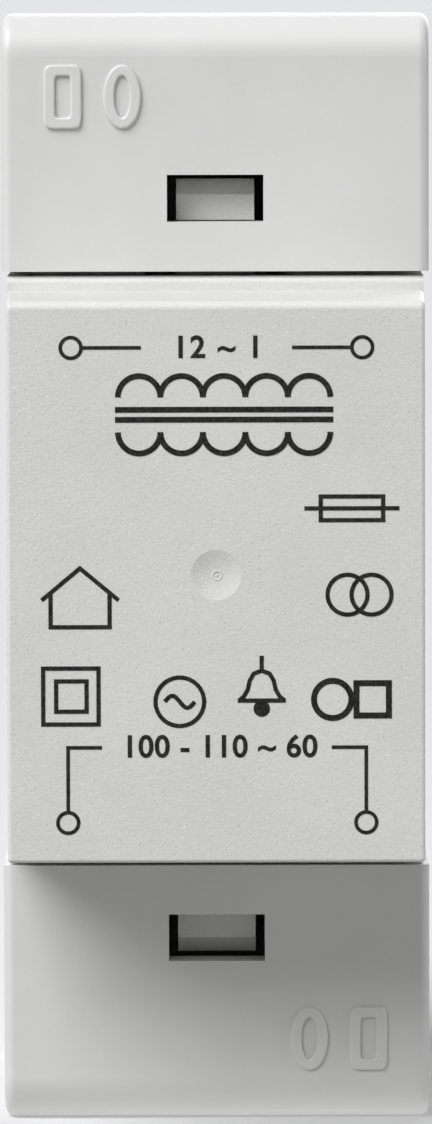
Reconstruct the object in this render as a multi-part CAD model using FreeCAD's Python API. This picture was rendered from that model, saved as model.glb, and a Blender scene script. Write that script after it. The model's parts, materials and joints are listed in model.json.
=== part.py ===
import FreeCAD, Part
import math
import os

# Two-module bell transformer for a 35 mm top-hat rail, in millimetres.
# The origin is the middle of the face that seats on the rail: +Z is up, +X is to the right as
# seen from the front, and the front looks along -Y. A depth is a distance ahead of that face.

# Envelope
body_width = 35.0
body_height = 91.0
cover_depth = 41.5
nose_depth = 58.0
seam_depth = 14.0
foot_back = 5.5
side_radius = 0.8
back_chamfer = 0.6

# Rail and its recess
rail_height = 35.0
rail_flange = 1.0
rail_play = 0.15
rail_snap_play = 0.5
flange_play = 0.25
lip_bite = 1.6
lip_lead = 0.8

# Moulded walls
housing_wall = 1.6
nose_wall = 1.7
rib_wall = 1.6
deck_rib_inset = 3.4

# Nose and shoulder of the front housing
hood_inset = 0.45
ledge_height = 1.2
nose_draft_deg = 1.0
nose_top_radius = 0.7
nose_edge_radius = 0.3
shoulder_drop = 0.1
shoulder_radius = 0.6
dish_diameter = 4.05
dish_depth = 0.28
dish_rise = 0.6

# Terminal covers
cover_length = 21.08
cover_gap = 0.37
cover_front_wall = 2.0
cover_side_wall = 2.1
cover_end_wall = 2.0
cover_rear_gap = 0.3
crown_radius = 3.5
crown_inner_radius = 1.5
window_side = 1.85
window_length = 3.85
window_inset = 4.05
window_rim = 1.3
window_boss_depth = 1.8
entry_width = 7.4
entry_rise = 1.4
lip_reach = 0.95
lip_height = 1.05

# Terminal trays of the front housing
tray_side_gap = 0.4
tray_end_gap = 0.5
tray_wall = 1.1
tray_front_wall = 1.5
tray_back_wall = 1.6
tray_lip_gap = 0.25
stop_rib_width = 0.9
stop_rib_length = 1.1

# Catch tongue under each window
tongue_slot = 0.75
tongue_thickness = 1.3
tongue_boss_gap = 0.4
catch_rise = 1.3
catch_land = 2.1
catch_ramp = 1.25
catch_play = 0.1

# Rising clamp terminals
terminal_inset = 9.0
cage_width = 6.8
cage_length = 6.0
cage_side_wall = 1.0
cage_front_wall = 1.6
cage_floor = 1.2
cage_play = 0.1
cage_head_gap = 0.2
clamp_travel = 3.6
clamp_spare = 0.1
screw_diameter = 3.5
thread_play = 0.05
head_diameter = 5.8
head_height = 2.2
head_play = 0.3
slot_width = 0.8
slot_depth = 1.1
collar_wall = 0.8
collar_gap = 0.3
collar_mouth = 4.8
collar_lip = 0.6

# Contact tags
tag_thickness = 1.0
tag_width = 4.6
tag_tail_width = 2.0
tag_play = 0.05
tag_overrun = 0.8

# Laminated core, of the kind stamped without waste: its length is two yokes, two windows as wide
# as a yoke and a middle leg as wide as two
core_yoke_count = 6
core_hole = 3.5
core_post_height = 5.4
core_front_gap = 1.3
core_end_gap = 1.25
core_end_play = 0.1
core_rib_width = 10.0
core_rib_reach = 11.0

# Bobbin, windings and leads
bobbin_play = 0.2
bobbin_wall = 1.0
flange_wall = 1.0
flange_side_gap = 0.45
flange_edge_gap = 0.3
coil_build = 6.3
winding_setback = 0.4
winding_radius = 5.0
winding_play = 0.05
tape_thickness = 0.25
tape_inset = 0.2
lead_diameter = 1.2
lead_notch_play = 0.3
lead_play = 0.05
lead_end_gap = 0.5
fuse_diameter = 3.2
fuse_length = 6.0
fuse_gap = 1.2
fuse_tag_gap = 0.5

# Rail latch and its spring
latch_width = 14.0
latch_thickness = 2.6
latch_play = 0.1
latch_side_play = 0.2
latch_bite = 1.6
latch_nose_land = 0.5
latch_ramp = 2.1
latch_tab_inset = 1.3
latch_tab_height = 7.9
latch_track_lip = 2.0
tab_slot_width = 5.0
tab_slot_height = 1.2
tab_slot_wall = 0.9
spring_length = 10.0
spring_diameter = 2.2
spring_wire = 0.35
spring_wire_sides = 4
spring_end_play = 0.05
spring_turns = 6
spring_slot_play = 0.5
spring_stop_length = 2.0
spring_stop_play = 0.3

# How far a cutting block runs past the face that it opens
overrun = 1.0

# Widths and heights that follow
half_width = body_width / 2
half_height = body_height / 2
front_half = half_width - hood_inset
cover_edge = half_height - cover_length
shoulder_half = cover_edge - cover_gap
nose_half = shoulder_half - ledge_height
cover_inner_side = half_width - cover_side_wall
cover_inner_end = half_height - cover_end_wall
window_start = cover_edge + window_inset
window_end = window_start + window_length
tray_half = cover_inner_side - tray_side_gap
tray_end = cover_inner_end - tray_end_gap
pocket_half = cage_width / 2 + cage_play
terminal_x = tray_half - tray_wall - pocket_half
terminal_row = tray_end - terminal_inset
middle_half = terminal_x - pocket_half - tray_wall
window_half = middle_half - window_side
tongue_half = window_half - tongue_slot

# Depths that follow, from the covers' front inwards
shoulder_depth = cover_depth - shoulder_drop
cover_inner_front = cover_depth - cover_front_wall
cover_rear = seam_depth + cover_rear_gap
collar_top = cover_inner_front - collar_gap
head_top = collar_top - collar_lip - head_play
head_bottom = head_top - head_height
tray_inner_front = head_bottom - head_play + cage_head_gap
tray_front = tray_inner_front + tray_front_wall
tray_back = seam_depth + tray_back_wall
cage_front = head_bottom - head_play - clamp_travel
cage_height = cage_front_wall + clamp_spare + clamp_travel + tag_thickness + clamp_spare + cage_floor
tag_depth = cage_front - cage_front_wall - clamp_spare

# The core and coil that fit the hood
core_back = housing_wall + core_post_height
core_front = nose_depth - nose_wall - core_front_gap
core_middle = (core_back + core_front) / 2
core_yoke = (core_front - core_back) / core_yoke_count
core_leg = 2 * core_yoke
core_hole_inset = core_yoke / 2
core_half = nose_half - housing_wall - core_end_gap
window_reach = core_half - core_yoke
flange_half_x = front_half - housing_wall - flange_side_gap
flange_half_y = (core_front - core_back) / 2 - core_yoke - flange_edge_gap
tube_half_x = flange_half_x - coil_build
tube_half_y = core_leg / 2 + bobbin_play + bobbin_wall
stack_half = tube_half_x - bobbin_wall - bobbin_play
bobbin_half = window_reach - bobbin_play
rib_place = core_half - core_yoke / 2
lead_depth = tag_depth + lead_diameter / 2 + lead_play

# The latch, from its pull tab up
latch_front = rail_flange + flange_play + latch_play
latch_end = half_height - latch_tab_inset
spring_slot_end = latch_end - latch_tab_height
spring_foot = spring_slot_end - spring_stop_play - spring_stop_length
spring_seat = spring_foot - spring_length


def box(x_from, x_to, depth_from, depth_to, z_from, z_to):
    """A block between two widths, two depths ahead of the rail and two heights."""
    corner = FreeCAD.Vector(x_from, -depth_to, z_from)
    return Part.makeBox(x_to - x_from, depth_to - depth_from, z_to - z_from, corner)


def centred_box(half_x, depth_from, depth_to, half_z):
    """A block that is symmetric about the middle in width and height."""
    return box(-half_x, half_x, depth_from, depth_to, -half_z, half_z)


def side_profile(points, half_x, middle_x=0.0):
    """A side view of (depth, height) corners, extruded across the width."""
    corners = [FreeCAD.Vector(middle_x - half_x, -depth, height) for depth, height in points]
    face = Part.Face(Part.makePolygon(corners + corners[:1]))
    return face.extrude(FreeCAD.Vector(2 * half_x, 0, 0))


def front_cylinder(radius, depth_from, depth_to, x, z):
    """A round along the depth, as for a screw."""
    start = FreeCAD.Vector(x, -depth_from, z)
    return Part.makeCylinder(radius, depth_to - depth_from, start, FreeCAD.Vector(0, -1, 0))


def upright_cylinder(radius, x, depth, z_from, z_to):
    """A round along the height, as for a lead."""
    return Part.makeCylinder(radius, z_to - z_from, FreeCAD.Vector(x, -depth, z_from))


def edges_where(shape, test):
    """The edges whose two ends pass the test."""
    return [edge for edge in shape.Edges if all(test(vertex.Point) for vertex in edge.Vertexes)]


def near(value, target):
    return abs(value - target) < 1e-4


def turned_down(shape):
    """The same moulding, turned half a turn about the depth axis."""
    copy = shape.copy()
    copy.rotate(FreeCAD.Vector(0, 0, 0), FreeCAD.Vector(0, 1, 0), 180)
    return copy


def drafted_block(half_x, half_z, depth_from, depth_to):
    """A block whose four walls lean inwards towards the front by the moulding draft."""
    taper = (depth_to - depth_from) * math.tan(math.radians(nose_draft_deg))
    rings = []
    for depth, inset in ((depth_from, 0.0), (depth_to, taper)):
        x = half_x - inset
        z = half_z - inset
        signs = ((-1, -1), (1, -1), (1, 1), (-1, 1), (-1, -1))
        rings.append(Part.makePolygon([FreeCAD.Vector(sx * x, -depth, sz * z) for sx, sz in signs]))
    return Part.makeLoft(rings, True, True)


def nose_dish():
    """The ball that presses the shallow gate dish into the nose front."""
    half_chord = dish_diameter / 2
    radius = (half_chord ** 2 + dish_depth ** 2) / (2 * dish_depth)
    centre = FreeCAD.Vector(0, -(nose_depth + radius - dish_depth), dish_rise)
    return Part.makeSphere(radius, centre)


def rounded_nose():
    """The nose block: a wide round along its top front edge and fine ones along the others."""
    start = shoulder_depth - shoulder_radius
    nose = drafted_block(front_half, nose_half, start, nose_depth)
    top_edge = edges_where(nose, lambda p: near(p.y, -nose_depth) and p.z > 0)
    nose = nose.makeFillet(nose_top_radius, top_edge)
    sharp = []
    for edge in nose.Edges:
        at_back = all(near(vertex.Y, -start) for vertex in edge.Vertexes)
        along_top = edge.CenterOfMass.z > 0 and near(edge.CenterOfMass.x, 0)
        if not at_back and not along_top:
            sharp.append(edge)
    return nose.makeFillet(nose_edge_radius, sharp)


def nose_shell():
    """Nose and shoulder: a stepped hood with drafted walls, rounded edges and an open back."""
    block = centred_box(front_half, seam_depth, shoulder_depth, shoulder_half)
    rounded = edges_where(block, lambda p: near(p.y, -shoulder_depth) and not near(p.x, 0))
    long_edges = [edge for edge in rounded if near(edge.Length, 2 * front_half)]
    block = block.makeFillet(shoulder_radius, long_edges)
    hood = block.fuse(rounded_nose())
    body_room = centred_box(front_half - housing_wall, seam_depth - overrun, shoulder_depth - housing_wall,
                            shoulder_half - housing_wall)
    nose_room = drafted_block(front_half - housing_wall, nose_half - housing_wall,
                              shoulder_depth - 2 * housing_wall, nose_depth - nose_wall)
    return hood.cut(body_room.fuse(nose_room)).cut(nose_dish())


def core_ribs():
    """Ribs inside the nose that hold the core at its front, its ends and its sides."""
    ribs = []
    rib_front = nose_depth - nose_wall / 2
    rib_rear = core_front - core_rib_reach
    end_face = core_half + core_end_play
    side_face = stack_half + core_end_play
    for sign in (-1, 1):
        z_low = sign * rib_place - rib_wall / 2
        z_high = sign * rib_place + rib_wall / 2
        ribs.append(box(-stack_half, stack_half, core_front, rib_front, z_low, z_high))
        ends = sorted((sign * end_face, sign * (nose_half - housing_wall / 2)))
        ribs.append(box(-core_rib_width / 2, core_rib_width / 2, rib_rear, rib_front, *ends))
        for side in (-1, 1):
            sides = sorted((side * side_face, side * (front_half - housing_wall / 2)))
            ribs.append(box(*sides, rib_rear, rib_front, z_low, z_high))
    return ribs


def square_shaft(half, depth_from, depth_to, x):
    """A square block on a terminal screw's axis."""
    return box(x - half, x + half, depth_from, depth_to, terminal_row - half, terminal_row + half)


def screw_bore(x):
    """A square room for the screw head, with a narrower round mouth for the screwdriver."""
    room = square_shaft(head_diameter / 2 + head_play, tray_inner_front - overrun,
                        collar_top - collar_lip, x)
    mouth = front_cylinder(collar_mouth / 2, tray_front, collar_top + overrun, x, terminal_row)
    return room.fuse(mouth)


def clamp_pocket(x):
    """The room that a clamp rises in, open at the tray's end for the wire."""
    return box(x - pocket_half, x + pocket_half, tray_back, tray_inner_front,
               shoulder_half, tray_end + overrun)


def terminal_sleeve(side):
    """One finger-safe sleeve: walls round the clamp, a square screw collar and two stop ribs."""
    x = side * terminal_x
    walls = box(*sorted((side * middle_half, side * tray_half)), tray_back, tray_front,
                shoulder_half, tray_end)
    collar = square_shaft(head_diameter / 2 + head_play + collar_wall, tray_front, collar_top, x)
    sleeve = walls.fuse(collar).cut(clamp_pocket(x)).cut(screw_bore(x))
    rib_end = terminal_row - cage_length / 2 - 2 * cage_play
    for edge in (-1, 1):
        wall_x = x + edge * (pocket_half + tray_wall / 2)
        rib_x = x + edge * (pocket_half - stop_rib_width)
        sleeve = sleeve.fuse(box(*sorted((wall_x, rib_x)), tray_back, tray_inner_front,
                                 rib_end - stop_rib_length, rib_end))
    return sleeve


def catch_tongue():
    """The springing tongue between the sleeves, with the hook that fills the cover's window."""
    base = cover_inner_front - window_boss_depth - tongue_boss_gap
    back = base - tongue_thickness
    root = shoulder_half - housing_wall / 2
    hook = window_start + catch_play
    ramp = hook + catch_land
    tip = ramp + catch_ramp
    outline = [
        (back, root),
        (base, root),
        (base, hook),
        (base + catch_rise, hook),
        (base + catch_rise, ramp),
        (base, tip),
        (back, tip),
    ]
    return side_profile(outline, tongue_half)


def terminal_tray():
    """Two sleeves, the tongue and the floor plate that joins them, on the upper end wall."""
    plate_half = cover_inner_side - lip_reach - tray_lip_gap
    tray = box(-plate_half, plate_half, seam_depth, tray_back, shoulder_half - housing_wall / 2, tray_end)
    for side in (-1, 1):
        tray = tray.fuse(terminal_sleeve(side))
    return tray.fuse(catch_tongue())


def tag_slots():
    """Slots through the end walls that the contact tags are pressed into."""
    slots = []
    half = tag_width / 2 + tag_play
    for end in (-1, 1):
        heights = sorted((end * (shoulder_half - housing_wall - overrun), end * (shoulder_half + overrun)))
        for side in (-1, 1):
            x = side * terminal_x
            slots.append(box(x - half, x + half, tag_depth - tag_thickness - tag_play,
                             tag_depth + tag_play, *heights))
    return slots


def front_housing():
    """The hood: nose, shoulder and the two terminal trays in one moulding."""
    hood = nose_shell()
    tray = terminal_tray()
    hood = hood.multiFuse(core_ribs() + [tray, turned_down(tray)])
    for slot in tag_slots():
        hood = hood.cut(slot)
    return hood.removeSplitter()


def rail_recess():
    """The through recess for the rail, with the fixed lip's undercut at the top."""
    top = rail_height / 2 + rail_play
    bottom = rail_height / 2 + rail_snap_play
    bite = rail_height / 2 - lip_bite
    back = -foot_back - overrun
    groove = -rail_flange - flange_play
    outline = [
        (0, -bottom),
        (0, top),
        (groove, top),
        (groove, bite),
        (-foot_back + lip_lead, bite),
        (back, bite + lip_lead + overrun),
        (back, -bottom),
    ]
    return side_profile(outline, half_width + overrun)


def latch_track():
    """The track for the rail latch: wide behind the lips, narrower between them."""
    half = latch_width / 2 + latch_side_play
    front = -latch_front + latch_play
    back = -latch_front - latch_thickness - latch_play
    top = -rail_height / 2
    bottom = -half_height - overrun
    wide = box(-half, half, back, front, bottom, top)
    open_half = half - latch_track_lip
    narrow = box(-open_half, open_half, -foot_back - overrun, front, bottom, top)
    return wide.fuse(narrow)


def spring_stop():
    """The lug on the track's floor that the latch spring stands on."""
    half = spring_diameter / 2 + spring_slot_play - latch_side_play
    top = -spring_foot
    return box(-half, half, -latch_front - latch_thickness, 0, top - spring_stop_length, top)


def rear_room():
    """The hollow of the rear housing, between its floor, ribs and walls."""
    inner_x = half_width - housing_wall
    inner_z = half_height - housing_wall
    rib = shoulder_half - housing_wall / 2
    deck = tray_end - deck_rib_inset
    foot_start = rail_height / 2 + rail_snap_play + housing_wall
    track_half = latch_width / 2 + latch_side_play + housing_wall
    foot_floor = -foot_back + housing_wall
    room = []
    middle = rib - rib_wall / 2
    room.append(box(-inner_x, inner_x, housing_wall, seam_depth + overrun, -middle, middle))
    for start, end in ((rib + rib_wall / 2, deck), (deck + rib_wall, inner_z)):
        for sign in (-1, 1):
            heights = sorted((sign * start, sign * end))
            room.append(box(-inner_x, inner_x, housing_wall, seam_depth + overrun, *heights))
    for side in (-1, 1):
        upper = sorted((side * rib_wall / 2, side * inner_x))
        room.append(box(*upper, foot_floor, housing_wall, foot_start, inner_z))
        lower = sorted((side * track_half, side * inner_x))
        room.append(box(*lower, foot_floor, housing_wall, -inner_z, -foot_start))
    return room


def rear_housing():
    """The tub: rail recess, fixed lip, latch track, cross ribs and the core's posts."""
    tub = centred_box(half_width, -foot_back, seam_depth, half_height)
    corners = [edge for edge in tub.Edges if near(edge.Length, seam_depth + foot_back)]
    tub = tub.makeFillet(side_radius, corners)
    back_edges = edges_where(tub, lambda p: near(p.y, foot_back))
    tub = tub.makeChamfer(back_chamfer, back_edges)
    for room in rear_room():
        tub = tub.cut(room)
    tub = tub.cut(rail_recess()).cut(latch_track())
    posts = [spring_stop()]
    for sign in (-1, 1):
        middle = sign * rib_place
        posts.append(box(-stack_half, stack_half, housing_wall / 2, core_back,
                         middle - rib_wall / 2, middle + rib_wall / 2))
    return tub.multiFuse(posts).removeSplitter()


def cover_profile(front, rear, start, end, radius):
    """The cover's side view: a front wall and an end wall joined by the round crown."""
    turn = radius * (1 - math.sqrt(0.5))
    corners = [
        FreeCAD.Vector(0, -rear, start),
        FreeCAD.Vector(0, -front, start),
        FreeCAD.Vector(0, -front, end - radius),
        FreeCAD.Vector(0, -(front - turn), end - turn),
        FreeCAD.Vector(0, -(front - radius), end),
        FreeCAD.Vector(0, -rear, end),
    ]
    crown = Part.Arc(corners[2], corners[3], corners[4]).toShape()
    sides = [Part.makeLine(corners[0], corners[1]), Part.makeLine(corners[1], corners[2]), crown]
    sides += [Part.makeLine(corners[4], corners[5]), Part.makeLine(corners[5], corners[0])]
    return Part.Face(Part.Wire(sides))


def extruded_cover(face, half_x):
    block = face.copy()
    block.translate(FreeCAD.Vector(-half_x, 0, 0))
    return block.extrude(FreeCAD.Vector(2 * half_x, 0, 0))


def cable_entry(x):
    """A U slot in the end wall, open at the cover's rear edge."""
    crown = tag_depth + entry_rise - entry_width / 2
    heights = (cover_inner_end - overrun, half_height + overrun)
    slot = box(x - entry_width / 2, x + entry_width / 2, cover_rear - overrun, crown, *heights)
    return slot.fuse(upright_cylinder(entry_width / 2, x, crown, *heights))


def terminal_cover():
    """The upper cover: a crowned shell with the catch window and two cable entries."""
    outline = cover_profile(cover_depth, cover_rear, cover_edge, half_height, crown_radius)
    block = extruded_cover(outline, half_width)
    side_edges = [
        edge for edge in block.Edges
        if near(abs(edge.CenterOfMass.x), half_width)
        and not near(edge.CenterOfMass.y, -cover_rear)
        and not near(edge.CenterOfMass.z, cover_edge)
    ]
    block = block.makeFillet(side_radius, side_edges)
    hollow = cover_profile(cover_inner_front, cover_rear - overrun, cover_edge - overrun,
                           cover_inner_end, crown_inner_radius)
    cover = block.cut(extruded_cover(hollow, cover_inner_side))
    boss_half = window_half + window_rim
    boss_back = cover_inner_front - window_boss_depth
    boss = box(-boss_half, boss_half, boss_back, cover_depth - cover_front_wall / 2,
               window_start - window_rim, window_end + window_rim)
    cover = cover.fuse(boss)
    for side in (-1, 1):
        lip = sorted((side * (cover_inner_side - lip_reach), side * (half_width - cover_side_wall / 2)))
        cover = cover.fuse(box(*lip, cover_rear, cover_rear + lip_height, cover_edge, cover_inner_end))
        cover = cover.cut(cable_entry(side * terminal_x))
    window = box(-window_half, window_half, boss_back - overrun, cover_depth + overrun,
                 window_start, window_end)
    return cover.cut(window).removeSplitter()


def lamination_holes(height):
    """The two clamping holes across the stack at one height."""
    holes = []
    for depth in (core_back + core_hole_inset, core_front - core_hole_inset):
        start = FreeCAD.Vector(-2 * stack_half, -depth, height)
        holes.append(Part.makeCylinder(core_hole / 2, 4 * stack_half, start, FreeCAD.Vector(1, 0, 0)))
    return holes


def e_core():
    """The E stack: a yoke below and three legs that point up."""
    leg_from = core_middle - core_leg / 2
    leg_to = core_middle + core_leg / 2
    outline = [
        (core_back, -core_half),
        (core_front, -core_half),
        (core_front, window_reach),
        (core_front - core_yoke, window_reach),
        (core_front - core_yoke, -window_reach),
        (leg_to, -window_reach),
        (leg_to, window_reach),
        (leg_from, window_reach),
        (leg_from, -window_reach),
        (core_back + core_yoke, -window_reach),
        (core_back + core_yoke, window_reach),
        (core_back, window_reach),
    ]
    stack = side_profile(outline, stack_half)
    for hole in lamination_holes(-core_half + core_hole_inset):
        stack = stack.cut(hole)
    return stack


def i_core():
    """The I stack that closes the legs above the coil."""
    stack = box(-stack_half, stack_half, core_back, core_front, window_reach, core_half)
    for hole in lamination_holes(core_half - core_hole_inset):
        stack = stack.cut(hole)
    return stack


def coil_ring(inner_x, inner_y, outer_x, outer_y, z_from, z_to, radius):
    """A rounded ring round the middle leg."""
    outer = box(-outer_x, outer_x, core_middle - outer_y, core_middle + outer_y, z_from, z_to)
    if radius > 0:
        upright = [edge for edge in outer.Edges if near(edge.Length, z_to - z_from)]
        outer = outer.makeFillet(radius, upright)
    inner = box(-inner_x, inner_x, core_middle - inner_y, core_middle + inner_y,
                z_from - overrun, z_to + overrun)
    return outer.cut(inner)


def bobbin():
    """The two-chamber bobbin: a tube on the middle leg, two end flanges and a divider."""
    hole_x = stack_half + bobbin_play
    hole_y = core_leg / 2 + bobbin_play
    spool = coil_ring(hole_x, hole_y, tube_half_x, tube_half_y, -bobbin_half, bobbin_half, 0)
    flanges = (-bobbin_half, -flange_wall / 2, bobbin_half - flange_wall)
    for start in flanges:
        flange = coil_ring(hole_x, hole_y, flange_half_x, flange_half_y, start, start + flange_wall, 0)
        spool = spool.fuse(flange)
    for side in (-1, 1):
        for start in (flanges[0], flanges[-1]):
            half = lead_diameter / 2 + lead_notch_play
            x = side * terminal_x
            spool = spool.cut(box(x - half, x + half, lead_depth - half, lead_depth + half,
                                  start - overrun, start + flange_wall + overrun))
    return spool.removeSplitter()


def winding_span(end):
    """Heights of the upper (end = 1) or lower (end = -1) winding chamber, less its play."""
    low = flange_wall / 2 + winding_play
    high = bobbin_half - flange_wall - winding_play
    return sorted((end * low, end * high))


def winding(end):
    outer_x = flange_half_x - winding_setback - tape_thickness
    outer_y = flange_half_y - winding_setback - tape_thickness
    inner_x = tube_half_x + winding_play
    inner_y = tube_half_y + winding_play
    return coil_ring(inner_x, inner_y, outer_x, outer_y, *winding_span(end), winding_radius)


def winding_tape(end):
    """The yellow film wrapped once round a winding."""
    inner_x = flange_half_x - winding_setback - tape_thickness
    inner_y = flange_half_y - winding_setback - tape_thickness
    low, high = winding_span(end)
    low += tape_inset
    high -= tape_inset
    outer = box(-inner_x - tape_thickness, inner_x + tape_thickness,
                core_middle - inner_y - tape_thickness, core_middle + inner_y + tape_thickness, low, high)
    upright = [edge for edge in outer.Edges if near(edge.Length, high - low)]
    outer = outer.makeFillet(winding_radius + tape_thickness, upright)
    inner = box(-inner_x, inner_x, core_middle - inner_y, core_middle + inner_y, low, high)
    upright = [edge for edge in inner.Edges if near(edge.Length, high - low)]
    return outer.cut(inner.makeFillet(winding_radius, upright))


def lead_span():
    """Heights of a lead, from the winding's end face to the far end of the tag's tail."""
    return winding_span(1)[1], shoulder_half - housing_wall - lead_end_gap


def plain_lead(x, end):
    start, stop = lead_span()
    return upright_cylinder(lead_diameter / 2, x, lead_depth, *sorted((end * start, end * stop)))


def thermal_fuse():
    """The thermal cut-out in line with one primary lead: a small can on its own two leads."""
    lead = plain_lead(-terminal_x, -1)
    top = -bobbin_half - fuse_gap
    can = upright_cylinder(fuse_diameter / 2, -terminal_x, lead_depth, top - fuse_length, top)
    return can.fuse(lead)


def contact_tag(side, end):
    """A brass strip from the solder tail inside the hood to the clamp in its sleeve."""
    wide_from = shoulder_half - housing_wall
    tail_from = bobbin_half + fuse_gap + fuse_length + fuse_tag_gap
    wide_to = terminal_row + cage_length / 2 + tag_overrun
    back = tag_depth - tag_thickness
    x = side * terminal_x
    tail = box(x - tag_tail_width / 2, x + tag_tail_width / 2, back, tag_depth,
               *sorted((end * tail_from, end * wide_from)))
    blade = box(x - tag_width / 2, x + tag_width / 2, back, tag_depth,
                *sorted((end * wide_from, end * wide_to)))
    return tail.fuse(blade).removeSplitter()


def clamp_cage(side, end):
    """The rising cage, open: a square ring with a threaded front wall, lowered by its travel."""
    x = side * terminal_x
    z = end * terminal_row
    back = cage_front - cage_height
    ring = box(x - cage_width / 2, x + cage_width / 2, back, cage_front,
               z - cage_length / 2, z + cage_length / 2)
    mouth_half = cage_width / 2 - cage_side_wall
    mouth = box(x - mouth_half, x + mouth_half, back + cage_floor, cage_front - cage_front_wall,
                z - cage_length, z + cage_length)
    thread = front_cylinder(screw_diameter / 2 + thread_play, cage_front - cage_front_wall - overrun,
                            cage_front + overrun, x, z)
    return ring.cut(mouth).cut(thread)


def terminal_screw(side, end):
    """A slotted cheese-head screw whose tip bears on the contact tag."""
    x = side * terminal_x
    z = end * terminal_row
    tip = tag_depth + tag_play
    head = front_cylinder(head_diameter / 2, head_bottom, head_top, x, z)
    shank = front_cylinder(screw_diameter / 2, tip, head_bottom, x, z)
    slot = box(x - slot_width / 2, x + slot_width / 2, head_top - slot_depth, head_top + overrun,
               z - head_diameter, z + head_diameter)
    return head.fuse(shank).cut(slot).removeSplitter()


def rail_latch():
    """The sliding latch: a ramped nose for the rail, a spring slot and a slotted pull tab."""
    front = -latch_front
    back = -latch_front - latch_thickness
    tip = -rail_height / 2 + latch_bite
    outline = [
        (front, -latch_end),
        (front, tip),
        (front - latch_nose_land, tip),
        (back, tip - latch_ramp),
        (back, -latch_end),
    ]
    plate = side_profile(outline, latch_width / 2)
    slot_half = spring_diameter / 2 + spring_slot_play
    plate = plate.cut(box(-slot_half, slot_half, back - overrun, front + overrun,
                          -spring_slot_end, -spring_seat))
    tab_from = -latch_end + tab_slot_wall
    tab_to = tab_from + tab_slot_height
    return plate.cut(box(-tab_slot_width / 2, tab_slot_width / 2, back - overrun, front + overrun,
                         tab_from, tab_to))


def rail_latch_spring():
    """A compression spring in the latch's slot, standing on the housing's lug."""
    coil_radius = (spring_diameter - spring_wire) / 2
    height = spring_length - spring_wire - 2 * spring_end_play
    path = Part.makeHelix(height / spring_turns, height, coil_radius)
    corners = []
    for side in range(spring_wire_sides + 1):
        turn = 2 * math.pi * (side + 0.5) / spring_wire_sides
        corners.append(FreeCAD.Vector(coil_radius + spring_wire / 2 * math.cos(turn), 0,
                                      spring_wire / 2 * math.sin(turn)))
    corners[-1] = corners[0]
    coil = Part.Wire(path).makePipeShell([Part.makePolygon(corners)], True, True)
    depth = -latch_front - latch_thickness / 2
    coil.translate(FreeCAD.Vector(0, -depth, -spring_foot + spring_wire / 2 + spring_end_play))
    return coil


def export(node, shape):
    solids = shape.Solids
    if len(solids) == 1:
        shape = solids[0]
    print(node, "solids", len(solids), "valid", shape.isValid(), "volume", round(shape.Volume, 1))
    shape.exportStep("parts/" + node + ".step")


def main():
    os.makedirs("parts", exist_ok=True)
    cover = terminal_cover()
    nodes = {
        "rear_housing": rear_housing(),
        "front_housing": front_housing(),
        "top_terminal_cover": cover,
        "bottom_terminal_cover": turned_down(cover),
        "rail_latch": rail_latch(),
        "rail_latch_spring": rail_latch_spring(),
        "e_laminations": e_core(),
        "i_laminations": i_core(),
        "bobbin": bobbin(),
        "primary_winding": winding(-1),
        "secondary_winding": winding(1),
        "primary_tape": winding_tape(-1),
        "secondary_tape": winding_tape(1),
        "thermal_fuse": thermal_fuse(),
        "primary_lead": plain_lead(terminal_x, -1),
        "secondary_lead_left": plain_lead(-terminal_x, 1),
        "secondary_lead_right": plain_lead(terminal_x, 1),
    }
    for circuit, end in (("secondary", 1), ("primary", -1)):
        for hand, side in (("left", -1), ("right", 1)):
            place = circuit + "_" + hand
            nodes[place + "_tag"] = contact_tag(side, end)
            nodes[place + "_cage"] = clamp_cage(side, end)
            nodes[place + "_screw"] = terminal_screw(side, end)
    for node, shape in nodes.items():
        export(node, shape)


main()
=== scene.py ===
# %% [markdown]
# A bell transformer, dressed for its portrait
#
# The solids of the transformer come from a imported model, already at their real size and place.
# This lesson gives every piece its finish: grained and satin mouldings, black pad print, raised
# marks on the covers, steel, brass and copper inside. Lengths are metres, as in the model, and
# the small sizes are written through MM, one millimetre.

import json
import math

import bmesh
import bpy
from mathutils import Matrix, Vector


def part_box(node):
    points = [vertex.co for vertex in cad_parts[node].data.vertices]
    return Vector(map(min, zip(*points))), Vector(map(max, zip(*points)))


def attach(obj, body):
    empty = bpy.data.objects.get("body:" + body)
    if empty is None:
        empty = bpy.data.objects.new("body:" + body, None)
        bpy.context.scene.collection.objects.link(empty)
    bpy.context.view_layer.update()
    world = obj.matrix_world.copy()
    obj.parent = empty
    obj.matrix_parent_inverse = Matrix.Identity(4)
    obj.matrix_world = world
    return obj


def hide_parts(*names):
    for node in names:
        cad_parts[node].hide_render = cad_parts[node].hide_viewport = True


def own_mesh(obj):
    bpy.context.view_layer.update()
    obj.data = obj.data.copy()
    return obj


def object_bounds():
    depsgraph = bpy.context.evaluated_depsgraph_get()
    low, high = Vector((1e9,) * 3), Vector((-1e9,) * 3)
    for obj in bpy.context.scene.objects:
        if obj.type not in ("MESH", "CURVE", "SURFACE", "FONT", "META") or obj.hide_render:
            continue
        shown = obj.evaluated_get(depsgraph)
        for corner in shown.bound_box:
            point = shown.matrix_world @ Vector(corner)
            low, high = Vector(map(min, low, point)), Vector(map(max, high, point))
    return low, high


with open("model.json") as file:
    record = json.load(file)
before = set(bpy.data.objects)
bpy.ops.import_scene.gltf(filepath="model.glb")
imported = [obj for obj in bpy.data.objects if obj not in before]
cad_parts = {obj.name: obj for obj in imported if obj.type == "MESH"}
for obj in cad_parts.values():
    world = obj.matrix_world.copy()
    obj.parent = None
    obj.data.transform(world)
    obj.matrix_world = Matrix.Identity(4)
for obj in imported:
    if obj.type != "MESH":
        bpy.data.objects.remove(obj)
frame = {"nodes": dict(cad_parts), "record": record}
cad_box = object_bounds()
MM = 0.001
print("pieces in the frame:", len(frame["nodes"]))

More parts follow.
